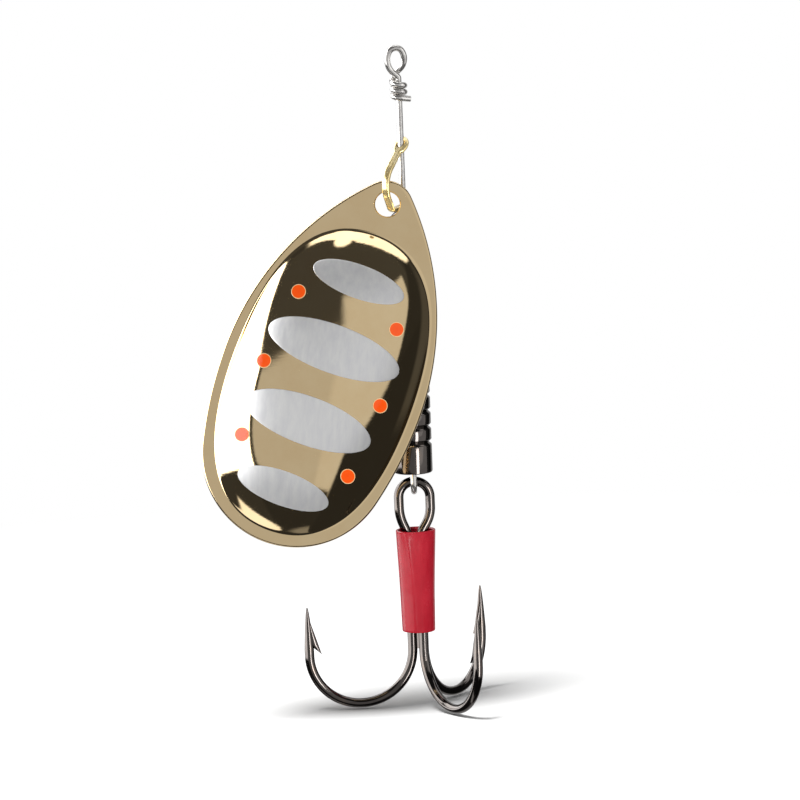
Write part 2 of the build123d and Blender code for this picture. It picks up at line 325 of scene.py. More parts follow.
def gold_plate():
    """Pressed brass, polished and flash plated with pale gold: a mirror with fine rubbing marks that
    run across the blade, and flecks that break up the edge of each reflection. The real marks are
    finer, and are drawn this coarse to show."""
    made, tree, shader, place = material("mirror_pale_gold_plate", "#f3d9ab", 1, 0.05)
    rubbing = grain(tree, place, (2.2, 2.2, 0.16), (0, radians(6), 0), 4.0, 0.65)
    flecks = grain(tree, place, (0.5, 0.5, 0.32), (0, 0, 0), 3.0, 0.6)
    height = add(tree, "ShaderNodeMath", {"operation": "MULTIPLY_ADD"}, i0=flecks, i1=0.8, i2=rubbing)
    haze = grain(tree, place, (3.0, 3.0, 3.0), (0, 0, 0), 5.0, 0.6)
    feed(
        shader,
        Base_Color=add(tree, "ShaderNodeValToRGB", stops=((0.3, "#f5dcaf"), (0.7, "#f0d4a5")), Fac=haze),
        Roughness=add(tree, "ShaderNodeMapRange", Value=haze, i1=0.35, i2=0.75, i3=0.035, i4=0.085),
        Normal=add(tree, "ShaderNodeBump", Strength=1.0, Distance=0.0016 * MM, Height=height),
    )
    return made


def silver_foil():
    """Hot stamped silver foil: satin, laid over the dome with faint upright wrinkles and pin dents."""
    made, tree, shader, place = material("satin_hot_stamped_silver_foil", "#e4e4e4", 0.65, 0.4)
    wrinkles = grain(tree, place, (0.55, 0.55, 2.6), (0, radians(-8), 0), 3.0, 0.6)
    dents = add(tree, "ShaderNodeTexVoronoi", Vector=place, Scale=1000 / 0.9)
    pits = add(
        tree, "ShaderNodeMapRange", Value=dents.outputs["Distance"], i1=0.0, i2=0.3, i3=0.0, i4=0.25
    )
    height = add(tree, "ShaderNodeMath", {"operation": "ADD"}, i0=wrinkles, i1=pits)
    feed(
        shader,
        Base_Color=add(
            tree, "ShaderNodeValToRGB", stops=((0.3, "#dcdcde"), (0.7, "#e8e8e7")), Fac=wrinkles
        ),
        Roughness=add(tree, "ShaderNodeMapRange", Value=wrinkles, i1=0.3, i2=0.7, i3=0.36, i4=0.46),
        Normal=add(tree, "ShaderNodeBump", Strength=1.0, Distance=0.009 * MM, Height=height),
    )
    return made


def orange_lacquer():
    """Fluorescent orange lacquer dabbed on a cream undercoat, which shows as a thin pale ring."""
    made, tree, shader, place = material("fluorescent_orange_lacquer", "#f4540c", 0, 0.12)
    spread = add(tree, "ShaderNodeUVMap", {"uv_map": "spread"})
    out = add(tree, "ShaderNodeSeparateXYZ", Vector=spread)
    wobble = grain(tree, place, (0.5, 0.5, 0.5))
    edge = add(tree, "ShaderNodeMath", {"operation": "MULTIPLY_ADD"}, i0=wobble, i1=0.05, i2=out)
    dab_and_ring = ((0.0, "#f2500c"), (0.9, "#f4560c"), (0.955, "#f2a25c"), (1.0, "#f5dcae"))
    feed(
        shader,
        Base_Color=add(tree, "ShaderNodeValToRGB", stops=dab_and_ring, Fac=edge),
        Normal=add(tree, "ShaderNodeBump", Strength=1.0, Distance=0.006 * MM, Height=wobble),
    )
    return made


def black_nickel():
    """Black nickel plate over polished steel and brass: nearly black, with sharp white lights and
    slight brown clouds where the plate is thin."""
    made, tree, shader, place = material("polished_black_nickel_plate", "#565150", 1, 0.1)
    clouds = grain(tree, place, (1.6, 1.6, 2.4), (0, 0, 0), 4.0, 0.6)
    ripple = grain(tree, place, (0.9, 0.9, 1.4), (0, 0, 0), 1.0, 0.5)
    plate = ((0.3, "#514c4a"), (0.55, "#5b5653"), (0.8, "#695e56"))
    feed(
        shader,
        Base_Color=add(tree, "ShaderNodeValToRGB", stops=plate, Fac=clouds),
        Roughness=add(tree, "ShaderNodeMapRange", Value=clouds, i1=0.3, i2=0.75, i3=0.07, i4=0.13),
        Normal=add(tree, "ShaderNodeBump", Strength=1.0, Distance=0.003 * MM, Height=ripple),
    )
    return made


def stainless():
    """Drawn stainless spring wire: bright and gently rippled, with dull marks from the former."""
    made, tree, shader, place = material("bright_drawn_stainless_wire", "#dcdad8", 0.88, 0.16)
    ripple = grain(tree, place, (0.7, 0.7, 1.2), (0, 0, 0), 1.0, 0.5)
    marks = grain(tree, place, (0.5, 0.5, 0.35), (0, 0, 0), 3.0, 0.6)
    feed(
        shader,
        Base_Color=add(
            tree, "ShaderNodeValToRGB", stops=((0.35, "#e0deda"), (0.65, "#c6c3c1")), Fac=marks
        ),
        Roughness=add(tree, "ShaderNodeMapRange", Value=marks, i1=0.35, i2=0.7, i3=0.12, i4=0.2),
        Normal=add(tree, "ShaderNodeBump", Strength=1.0, Distance=0.003 * MM, Height=ripple),
    )
    return made


def brass():
    """Stamped brass strip, barrel polished: warm yellow, with shallow dings that vary its gloss."""
    made, tree, shader, place = material("barrel_polished_brass_strip", "#f2dca0", 0.7, 0.2)
    dings = grain(tree, place, (0.8, 0.8, 1.1), (0, 0, 0), 2.0, 0.5)
    feed(
        shader,
        Base_Color=add(tree, "ShaderNodeValToRGB", stops=((0.3, "#ecd08a"), (0.7, "#f6e5b6")), Fac=dings),
        Roughness=add(tree, "ShaderNodeMapRange", Value=dings, i1=0.3, i2=0.7, i3=0.14, i4=0.22),
        Normal=add(tree, "ShaderNodeBump", Strength=1.0, Distance=0.002 * MM, Height=dings),
    )
    return made


def red_tube():
    """Soft red PVC tube: softly glossy, with slow ripples and a faint wax bloom."""
    made, tree, shader, place = material("soft_red_pvc_tube", "#98101f", 0, 0.25)
    bloom = grain(tree, place, (1.2, 1.2, 3.0), (0, 0, 0), 4.0, 0.6)
    ripple = grain(tree, place, (0.8, 0.8, 2.0), (0, 0, 0), 2.0, 0.5)
    feed(
        shader,
        Base_Color=add(tree, "ShaderNodeValToRGB", stops=((0.3, "#900d1e"), (0.7, "#a01526")), Fac=bloom),
        Roughness=add(tree, "ShaderNodeMapRange", Value=bloom, i1=0.3, i2=0.7, i3=0.2, i4=0.3),
        Specular_IOR_Level=0.3,
        Normal=add(tree, "ShaderNodeBump", Strength=1.0, Distance=0.01 * MM, Height=ripple),
    )
    return made


GOLD = gold_plate()
FOIL = silver_foil()
ORANGE = orange_lacquer()
NICKEL = black_nickel()
STEEL = stainless()
BRASS = brass()
RED = red_tube()


def dress(piece, made):
    """Gives the piece this one material."""
    piece.data.materials.clear()
    piece.data.materials.append(made)
    return piece


# Shaft wire ----------------------------------------------------------------------------------------


def shaft_wire():
    """One wire from its tail in the weight, round the lower loop, up the shaft, round the line eye,
    down the wraps, a left-handed helix z = top - pitch * turns, and out along the cut end."""
    width, middle, gap = LOWER_LOOP_R, LOWER_LOOP_Z, WIRE_D + 0.02
    tail = bent((0, gap, -37.25), (0, gap, -39.4), (0, width, -40.0), (0, width, middle), radii=(0.5, 0.5))
    under = arc((0, 0, middle), width, 0, -180, (0, 1, 0))
    rise = bent((0, -width, middle), (0, -width, -40.2), (0, 0, -39.1), (0, 0, -38.4), radii=(0.5, 0.5))
    top = LINE_EYE_TOP
    eye = bent(
        (0, 0, -1.95),
        (0, 0, -1.62),
        (-0.9, -0.1, -0.8),
        (-1.06, -0.04, 0.38),
        (-0.62, 0.04, top + 0.02),
        (0.28, 0.12, top + 0.02),
        (0.7, 0.22, 0.36),
        (0.5, 0.4, -0.62),
        (-0.42, 0.6, -1.45),
        (-0.6, 0.5, -2.04),
        (-WRAP_RADIUS, 0, WRAP_TOP_Z),
    )
    turns = np.linspace(0, WRAP_TURNS, 120)
    angle = np.pi + 2 * np.pi * turns
    level = WRAP_TOP_Z - WRAP_PITCH * turns
    coil = np.stack((WRAP_RADIUS * np.cos(angle), WRAP_RADIUS * np.sin(angle), level), -1)
    cut_end = coil[-1:] + unit(coil[-1] - coil[-2]) * 0.9
    path = even(np.vstack((tail, under, rise, eye, coil, cut_end)), 0.1)
    rings = wire(path, WIRE_D / 2, (1, 0, 0))
    piece = skin("shaft_wire_bent", rings, "shaft", ["shaft_wire"], crease=50)
    return dress(piece, STEEL)


# Clevis, bead and weight ---------------------------------------------------------------------------


def squared(value):
    """Draws one coordinate of a circle out towards the square round it."""
    return np.sign(value) * np.abs(value) ** 0.6


def clevis():
    """A strip swept along the C. Its section is a squared-off oval, |x / w| ** 3.3 + |y / t| ** 3.3 = 1,
    whose half width w is the strip's, or the round of the eye where that is wider."""
    reach = CLEVIS_REACH
    eye = CLEVIS_EYE_D / 2
    path = bent(
        (-eye + 0.01, 0, CLEVIS_TOP_Z + 0.72),
        (reach + 0.256, 0, CLEVIS_TOP_Z - 3.02),
        (reach - 1.2, 0, CLEVIS_BOTTOM_Z),
        (-eye + 0.01, 0, CLEVIS_BOTTOM_Z),
        radii=(2.4, 0.6),
    )
    path = even(path, 0.06)
    turn = np.linspace(0, 2 * np.pi, 32, endpoint=False)
    wide = np.sqrt(np.maximum(eye**2 - path[:, 0] ** 2, 0.0004))
    wide = np.where(path[:, 0] > 0, np.maximum(wide, CLEVIS_STRIP_WIDTH / 2), wide)[:, None]
    thick = CLEVIS_THICKNESS / 2
    rings = along(path, wide * squared(np.cos(turn)), thick * squared(np.sin(turn)), (0, 1, 0))
    azimuth = radians(CLEVIS_AZIMUTH)
    about = np.array(((cos(azimuth), sin(azimuth), 0), (-sin(azimuth), cos(azimuth), 0), (0, 0, 1)))
    piece = skin("clevis_strip", rings @ about, "clevis", ["clevis"], crease=45)
    hole = CLEVIS_HOLE_D / 2
    cutter = lathe(np.array(((hole, CLEVIS_BOTTOM_Z - 1), (hole, CLEVIS_TOP_Z + 2))), 40)
    return dress(bored(piece, skin("clevis_holes", cutter, "clevis", []), 45), BRASS)


def bead():
    """A ball with small flats and a bore, turned from its half outline."""
    radius = BEAD_D / 2
    angle = np.arcsin(np.linspace(-1, 1, 40) * BEAD_LENGTH / BEAD_D)
    outer = np.stack((radius * np.cos(angle), BEAD_TOP_Z - BEAD_LENGTH / 2 + radius * np.sin(angle)), -1)
    bore = BORE_D / 2
    inner = np.array(((bore, BEAD_TOP_Z), (bore, BEAD_TOP_Z - BEAD_LENGTH)))
    rings = lathe(np.vstack((outer, inner)))
    return dress(skin("bead_turned", rings, "bead", ["bearing_bead"], looped=True), NICKEL)


def weight():
    """Turned outline: a quadratic curve for the nose, V grooves whose edges and roots are eased, the
    plain skirt, and the stepped bore back up."""
    radius, nose_z, bottom = WEIGHT_D / 2, WEIGHT_TOP_Z - NOSE_LENGTH, WEIGHT_BOTTOM_Z
    t = np.linspace(1, 0, 16)[:, None]
    start = np.array((radius, nose_z))
    pull = np.array((radius, nose_z + 1.6))
    end = np.array((NOSE_D / 2, WEIGHT_TOP_Z))
    nose = (1 - t) ** 2 * start + 2 * t * (1 - t) * pull + t**2 * end
    half, ease = GROOVE_WIDTH / 2, GROOVE_EASE
    cut = np.array((
        (0, half + ease), (0.015, half + 0.3 * ease), (0.05, half - 0.6 * ease),
        (GROOVE_DEPTH - 0.02, 0.02), (GROOVE_DEPTH, 0), (GROOVE_DEPTH - 0.02, -0.02),
        (0.05, -half + 0.6 * ease), (0.015, -half - 0.3 * ease), (0, -half - ease),
    ))
    middles = LOWEST_GROOVE_Z + GROOVE_PITCH * np.arange(GROOVE_COUNT)[::-1]
    depths = np.tile(cut[:, 0], GROOVE_COUNT)
    grooves = np.stack((radius - depths, (middles[:, None] + cut[:, 1]).ravel()), -1)
    foot = np.array((
        (radius, bottom + 0.2), (radius - 0.02, bottom + 0.09),
        (radius - 0.08, bottom + 0.02), (radius - 0.18, bottom),
        (1.42, bottom), (1.42, -38.9), (1.08, -38.9), (1.08, -37.2),
        (BORE_D / 2, -37.2), (BORE_D / 2, WEIGHT_TOP_Z),
    ))
    rings = lathe(np.vstack((nose, grooves, foot)))
    return dress(skin("weight_turned", rings, "weight", ["weight"], looped=True), NICKEL)


# Blade -------------------------------------------------------------------------------------------

RIGHT = np.array((cos(LEAN), -sin(LEAN) * sin(SWING), -sin(LEAN) * cos(SWING)))
OUT = np.array((0, -cos(SWING), sin(SWING)))
UP = np.cross(OUT, RIGHT)


def on_blade(u, v, w):
    """A point of the blade: u to the right of its axis, v below its tip, w out of its sheet."""
    return HOLE_AT + u[..., None] * RIGHT + (HOLE_V - v)[..., None] * UP + w[..., None] * OUT


def flank(end_centre_v, end_radius):
    """Side arc tangent to an end arc and vertical at the widest point: its radius, and the v at which
    the two meet."""
    half = BLADE_WIDTH / 2
    drop = WIDEST_V - end_centre_v
    radius = (half**2 + drop**2 - end_radius**2) / (2 * (half - end_radius))
    reach = np.hypot(radius - half, drop)
    return radius, WIDEST_V - radius * drop / reach


def by_direction(u, v, angles):
    """Distance from the middle of the dome to a curve in each direction."""
    turn = np.arctan2(v, u)
    order = np.argsort(turn)
    return np.interp(angles, turn[order], np.hypot(u, v)[order])


def outline(angles):
    """Distance from the middle of the dome to the blade's edge: four tangent arcs a side."""
    half = BLADE_WIDTH / 2
    upper, upper_v = flank(TIP_RADIUS, TIP_RADIUS)
    lower, lower_v = flank(BLADE_LENGTH - BOTTOM_RADIUS, BOTTOM_RADIUS)
    v_tip = upper_v * np.linspace(0, 1, 200) ** 2
    v_upper = np.linspace(upper_v, WIDEST_V, 400)
    v_lower = np.linspace(WIDEST_V, lower_v, 300)
    v_end = BLADE_LENGTH - (BLADE_LENGTH - lower_v) * np.linspace(1, 0, 400) ** 2
    u_tip = np.sqrt(np.maximum(TIP_RADIUS**2 - (v_tip - TIP_RADIUS) ** 2, 0))
    u_upper = half - upper + np.sqrt(upper**2 - (v_upper - WIDEST_V) ** 2)
    u_lower = half - lower + np.sqrt(lower**2 - (v_lower - WIDEST_V) ** 2)
    u_end = np.sqrt(np.maximum(BOTTOM_RADIUS**2 - (v_end - BLADE_LENGTH + BOTTOM_RADIUS) ** 2, 0))
    u = np.concatenate((u_tip, u_upper, u_lower, u_end))
    v = np.concatenate((v_tip, v_upper, v_lower, v_end)) - DOME_V
    return by_direction(u, v, np.arctan2(np.sin(angles), np.abs(np.cos(angles))))


def dome_foot(angles):
    """Distance from the middle of the dome to its foot: an ellipse a little fuller at its corners."""
    t = np.linspace(-np.pi, np.pi, 4001)
    reach = 1 + DOME_SQUARENESS * np.sin(2 * t) ** 2
    u, v = DOME_HALF_WIDTH * reach * np.cos(t), DOME_HALF_LENGTH * reach * np.sin(t)
    return by_direction(u, v, np.arctan2(np.sin(angles), np.cos(angles)))


def dome_height(rho, soft=0.0):
    """Height h over the sheet, full at the crown and steepest at the foot, where it is eased into
    the rim as (h + sqrt(h ** 2 + soft ** 2)) / 2."""
    height = DOME_HEIGHT * (1 - 0.5 * rho**2 - 0.5 * rho**5)
    return (height + np.sqrt(height**2 + soft**2)) / 2 if soft else height


def blade():
    """Rings from the crown out over the dome, its foot, the flat rim and round the edge, then back
    under the sheet to the underside of the crown."""
    steps = 360
    turn = np.linspace(0, 2 * np.pi, steps, endpoint=False)
    foot = dome_foot(turn)
    edge = outline(turn)
    half, round_off = BLADE_THICKNESS / 2, BLADE_EDGE_ROUND
    reach, height = [], []
    for rho in np.concatenate((np.linspace(0.01, 0.93, 50), np.linspace(0.94, 1.035, 30))):
        reach.append(np.minimum(foot * rho, edge - round_off - 0.02))
        height.append(half + dome_height(np.full(steps, rho), FOOT_SOFTNESS))
    run_out, last = foot * 1.035, height[-1]
    for share in (0.1, 0.3, 0.6, 0.9):
        reach.append(run_out + (edge - round_off - run_out) * share)
        height.append(half + (1 - share) * (last - half))
    for angle in np.linspace(90, -90, 11):
        reach.append(edge - round_off + round_off * cos(radians(angle)))
        height.append(np.full(steps, (half - round_off) * np.sign(angle) + round_off * sin(radians(angle))))
    inner = foot - DOME_WALL
    for share in (0.9, 0.5, 0.1):
        reach.append(inner + (edge - round_off - inner) * share)
        height.append(np.full(steps, -half))
    for rho in np.linspace(1, 0.01, 50):
        reach.append(inner * rho)
        height.append(-half + dome_height(np.full(steps, rho)))
    reach = np.array(reach)
    rings = on_blade(reach * np.cos(turn), DOME_V + reach * np.sin(turn), np.array(height))
    piece = skin("blade_sheet", rings, "blade", ["blade"])
    around = np.linspace(0, 2 * np.pi, 64, endpoint=False)
    grow = np.array((0.35, 0.1, 0, 0, 0.1, 0.35))[:, None]
    level = np.array((-0.5, -half, -0.15, 0.15, half, 0.5))[:, None]
    u, v = (HOLE_RADIUS + grow) * np.cos(around), HOLE_V + (HOLE_RADIUS + grow) * np.sin(around)
    cutter = skin("hole_cutter", on_blade(u, v, np.repeat(level, 64, 1)), "blade", [])
    return dress(bored(piece, cutter), GOLD)


def patch(name, spots, lift, replaced, made):
    """Thin skins that follow the dome, one for each (u, v, half length, half width) spot.

    Each is an ellipse of rings from its middle outwards, lifted off the metal, its edge turned down.
    Its spread map holds the share of the way out to the edge."""
    steps = 96
    turn = np.linspace(0, 2 * np.pi, steps, endpoint=False)
    share = np.concatenate((np.linspace(0.02, 0.97, 24), (0.985, 0.995, 1.0), (0.97, 0.5, 0.02)))[:, None]
    rise = np.concatenate((np.full(24, lift), (lift * 0.97, lift * 0.8, 0.0), (-0.05, -0.05, -0.05)))[:, None]
    for number, (u0, v0, long, wide) in enumerate(spots):
        u = u0 + share * long * np.cos(turn)
        v = v0 + share * wide * np.sin(turn)
        rho = np.hypot(u, v - DOME_V) / dome_foot(np.arctan2(v - DOME_V, u))
        rings = on_blade(u, v, BLADE_THICKNESS / 2 + dome_height(rho, FOOT_SOFTNESS) + rise)
        piece = skin(f"{name}_{number + 1}", rings, "blade", replaced, crease=40)
        mesh = piece.data
        out = np.append(np.repeat(share, steps), (0.0, 0.0))
        corner = np.empty(len(mesh.loops), int)
        mesh.loops.foreach_get("vertex_index", corner)
        layer = mesh.uv_layers.new(name="spread")
        layer.data.foreach_set("uv", np.stack((out[corner], out[corner] * 0), -1).ravel())
        dress(piece, made)


# Treble hook ---------------------------------------------------------------------------------------


def radial(azimuth, reach, z):
    """A point in one hook's own plane, at a distance from the axis of the treble."""
    return (reach * cos(radians(azimuth)), reach * sin(radians(azimuth)), z)


def hook_line(azimuth):
    """Shank, two quarter circles and the point leg, from the top of the shank to the tip."""
    near, far = BEND_DEEPEST_AT - SHANK_SPACING, LEG_REACH - BEND_DEEPEST_AT
    flat = radial(azimuth, 1, 0)
    down = arc(radial(azimuth, BEND_DEEPEST_AT, BEND_BOTTOM_Z + near), near, 180, 270, flat)
    up = arc(radial(azimuth, BEND_DEEPEST_AT, BEND_BOTTOM_Z + far), far, 270, 360, flat)
    leg = bent(up[-1], radial(azimuth, LEG_REACH, POINT_Z - BARB_DOWN), radial(azimuth, POINT_REACH, POINT_Z))
    return np.vstack((radial(azimuth, SHANK_SPACING, SHANK_TOP_Z), down, up, leg))


def hook_radius(path, azimuths):
    """Full wire up to the point, then r = 0.02 + 0.45 (h / 4.2) ** 0.6 at a height h below the tip."""
    out = np.max([path @ np.array(radial(azimuth, 1, 0)) for azimuth in azimuths], 0)
    below = np.where(out > LEG_REACH - 0.5, np.maximum(POINT_Z - path[:, 2], 0), 9)
    return np.minimum(0.02 + 0.45 * (below / 4.2) ** 0.6, HOOK_WIRE_D / 2)


def barb(name, azimuth, node):
    """The cut spur: flat ovals from the needle down to its tip. The inner edge runs straight from
    the needle to the tip, and the outer edge leaves the leg and slopes down to meet it."""
    h = np.linspace(0, 1, 30)[:, None]
    turn = np.linspace(0, 2 * np.pi, 20, endpoint=False)
    top, tip = 1.0, BARB_DOWN
    inner = POINT_REACH - 0.12 + h * (LEG_REACH - BARB_IN - POINT_REACH + 0.12)
    leg = np.minimum(LEG_REACH, LEG_REACH - (h - 0.74) / 0.26 * (BARB_IN - 0.02))
    outer = np.maximum(leg, inner + 0.02)
    thick = 0.06 + 0.2 * np.sin(np.pi * np.clip(h * 0.78, 0, 1)) ** 0.7
    out = (inner + outer) / 2 + (outer - inner) / 2 * np.cos(turn)
    level = thick * np.sin(turn)
    z = np.repeat(POINT_Z - top - h * (tip - top), 20, 1)
    a = radians(azimuth)
    rings = np.stack((out * cos(a) - level * sin(a), out * sin(a) + level * cos(a), z), -1)
    return dress(skin(name, rings, "hook", [node], crease=40), NICKEL)


def hooks():
    """The pair is one wire, from a point through the eye to the other point. The third stands alone."""
    ring_z = HOOK_PIN_Z - HOOK_RING_R
    left, right = PAIR_AZIMUTHS

    def leg(azimuth, side):
        reach = side * HOOK_RING_R
        return bent(
            radial(azimuth, SHANK_SPACING, SHANK_TOP_Z),
            radial(azimuth, SHANK_SPACING, SHANK_TOP_Z + 1.75),
            (reach, 0, ring_z - 1.9),
            (reach, 0, ring_z),
        )

    ring = arc((0, 0, ring_z), HOOK_RING_R, 180, 0, (1, 0, 0))
    path = np.vstack((hook_line(left)[::-1], leg(left, -1), ring, leg(right, 1)[::-1], hook_line(right)))
    path = even(path, HOOK_STEP)
    rings = wire(path, hook_radius(path, PAIR_AZIMUTHS), (0, 1, 0))
    dress(skin("hook_pair_wire", rings, "hook", ["hook_pair"], crease=50), NICKEL)
    path = even(hook_line(SINGLE_AZIMUTH), HOOK_STEP)
    rings = wire(path, hook_radius(path, (SINGLE_AZIMUTH,)), radial(SINGLE_AZIMUTH + 90, 1, 0))
    dress(skin("hook_single_wire", rings, "hook", ["hook_single"], crease=50), NICKEL)
    barb("barb_left", left, "hook_pair")
    barb("barb_front", right, "hook_pair")
    barb("barb_rear", SINGLE_AZIMUTH, "hook_single")


# Sleeve --------------------------------------------------------------------------------------------


def sleeve():
    """A stretched tube. With s from 0 at its top to 1 at its foot, its outer radius is the straight
    taper, squeezed front to back where the two legs spread it (cos 2a, fading down), bulged over the
    three shanks (cos 3a, growing down) and drawn in at its waist, with one fold that wanders from the
    left leg to the middle and a short second one to its right. The wall turns over at each rim in a
    half circle."""
    steps, rows = 96, 90
    s = np.linspace(1, 0, rows)[:, None]
    a = np.linspace(0, 2 * np.pi, steps, endpoint=False)[None, :]
    radius = (SLEEVE_TOP_D + s * (SLEEVE_BOTTOM_D - SLEEVE_TOP_D)) / 2
    squeeze = -0.11 * (1 - np.cos(2 * a)) * np.exp(-((s / 0.35) ** 2))
    bulge = -0.045 * (1 - np.cos(3 * (a - radians(180)))) * np.clip(s * 1.6, 0, 1)
    place = radians(-132) + radians(28) * (1 - np.exp(-s / 0.22))
    fold = 0.1 * np.exp(-(((a - np.pi * 2 - place) / radians(13)) ** 2)) * np.exp(-((s - 0.3) / 0.5) ** 2)
    beside = np.exp(-(((a - np.pi * 2 - radians(-72)) / radians(9)) ** 2))
    second = 0.07 * beside * np.exp(-(((s - 0.14) / 0.12) ** 2))
    waist = -0.03 * np.sin(np.pi * s) ** 2
    outer = radius + squeeze + bulge + fold + second + waist - 0.05
    wall = np.full_like(outer, SLEEVE_WALL * SLEEVE_RIM_SHARE)
    lip = SLEEVE_LIP
    z = SLEEVE_TOP_Z + s * (SLEEVE_BOTTOM_Z - SLEEVE_TOP_Z)
    z = np.clip(z, SLEEVE_BOTTOM_Z + lip, SLEEVE_TOP_Z - lip)
    bend = np.radians(np.linspace(0, 180, 7))[1:-1, None]
    top_rim = outer[-1] - wall[-1] / 2 + wall[-1] / 2 * np.cos(bend)
    foot_rim = outer[0] - wall[0] / 2 - wall[0] / 2 * np.cos(bend)
    r = np.vstack((outer, top_rim, (outer - wall)[::-1], foot_rim))
    rise = np.vstack((
        np.repeat(z, steps, 1),
        np.repeat(SLEEVE_TOP_Z - lip + lip * np.sin(bend), steps, 1),
        np.repeat(z[::-1], steps, 1),
        np.repeat(SLEEVE_BOTTOM_Z + lip - lip * np.sin(bend), steps, 1),
    ))
    rings = np.stack((r * np.cos(a), r * np.sin(a), rise), -1)
    return dress(skin("sleeve_tube", rings, "hook", ["sleeve"], looped=True, crease=60), RED)


shaft_wire()
clevis()
bead()
weight()
blade()
bars = [(0, v, length / 2, width / 2) for v, length, width in FOIL_BARS]
patch("foil_bar", bars, FOIL_LIFT, ["foil_bars"], FOIL)
dots = [(u, v, DOT_RADIUS, DOT_RADIUS) for u, v in DOTS]
patch("paint_dot", dots, PAINT_LIFT, ["paint_dots"], ORANGE)
hooks()
sleeve()
dress(nodes["braze"], NICKEL)


# Floor, light and camera ---------------------------------------------------------------------------


def floor():
    """Grey paper under a lamp of its own that lifts it to white, so that it keeps a deep soft shadow.
    Far from the lure it gives the camera plain white."""
    mesh = bpy.data.meshes.new("pale_floor")
    z = FLOOR_Z * MM
    mesh.from_pydata([(-3, -3, z), (3, -3, z), (3, 4, z), (-3, 4, z)], [], [(0, 1, 2, 3)])
    piece = bpy.data.objects.new("pale_floor", mesh)
    bpy.context.scene.collection.objects.link(piece)
    made, tree, shader, place = material("pale_paper_floor", "#9c9c9c", 0, 0.95)
    feed(shader, Specular_IOR_Level=0)
    spot = add(tree, "ShaderNodeVectorMath", {"operation": "MULTIPLY"}, i0=place, i1=(1, 1, 0))
    away = add(tree, "ShaderNodeVectorMath", {"operation": "LENGTH"}, i0=spot)
    far = add(
        tree, "ShaderNodeMapRange", Value=away.outputs["Value"], i1=0.05, i2=0.12, i3=0.0, i4=1.0
    )
    ray = add(tree, "ShaderNodeLightPath")
    seen = add(
        tree, "ShaderNodeMath", {"operation": "MULTIPLY"}, i0=far, i1=ray.outputs["Is Camera Ray"]
    )
    white = add(tree, "ShaderNodeEmission", Strength=1.0)
    mixed = add(tree, "ShaderNodeMixShader", i0=seen, i1=shader, i2=white)
    feed(tree.nodes["Material Output"], Surface=mixed)
    dress(piece, made)
    piece.visible_glossy = False
    return piece


# Light cards round the object, seen by its metal: (left, right, low, high, lean, tilt, softness,
# brightness). Left and right are degrees of turn from the front plus lean times the height, low and
# high are degrees above level plus tilt times the turn. A later card covers those before it.
CARDS = (
    (-200, 200, 58, 91, 0, 0, 2, 2.2),  # ceiling
    (-134, 134, -90, 58, 0, 0, 4, 0.05),  # dark room in front
    (-72, 26, -50, 40, 0, 0, 2.5, 0.64),  # table and wall before the blade
    (-116, 84, 25, 83, 0, 0, 1.5, 0.07),  # dark gap below the ceiling
    (6, 75, -50, 38, 0, 0, 2, 0.75),  # lighter panel on the right
    (63, 130, -90, 45, -0.6, 0, 2, 0.035),  # black flag behind it
    (26.5, 130, -90, -22, 0, -0.25, 2, 0.03),  # dark ground below the flag
    (109.7, 127, 40, 80, 0.42, 0, 2, 2.0),  # ceiling seen past the flag
    (95, 107, -24, 40, 0, 0, 3, 0.09),  # faint edge of the flag
    (-150, -42.5, -60, 9, 0.56, 0.29, 1.5, 0.07),  # frame of the softbox
    (-135, -47.6, -60, 6.5, 0.56, 0.29, 1.0, 6.0),  # large softbox on the left
    (-134, -37, -90, -12.5, 0, 0, 1.2, 0.05),  # table edge
    (-39, 26, -90, -26.4, 0, 0.43, 1.5, 0.035),  # dark front of the table
    (-72, -38, -150, -100.5, 0, 0.97, 2, 1.6),  # pale floor seen past the table
    (-40, 20, -90, -69, 0, 0, 2, 0.3),  # ground under the lure
)


ROOM_BRIGHTNESS = 0.8  # where no card stands


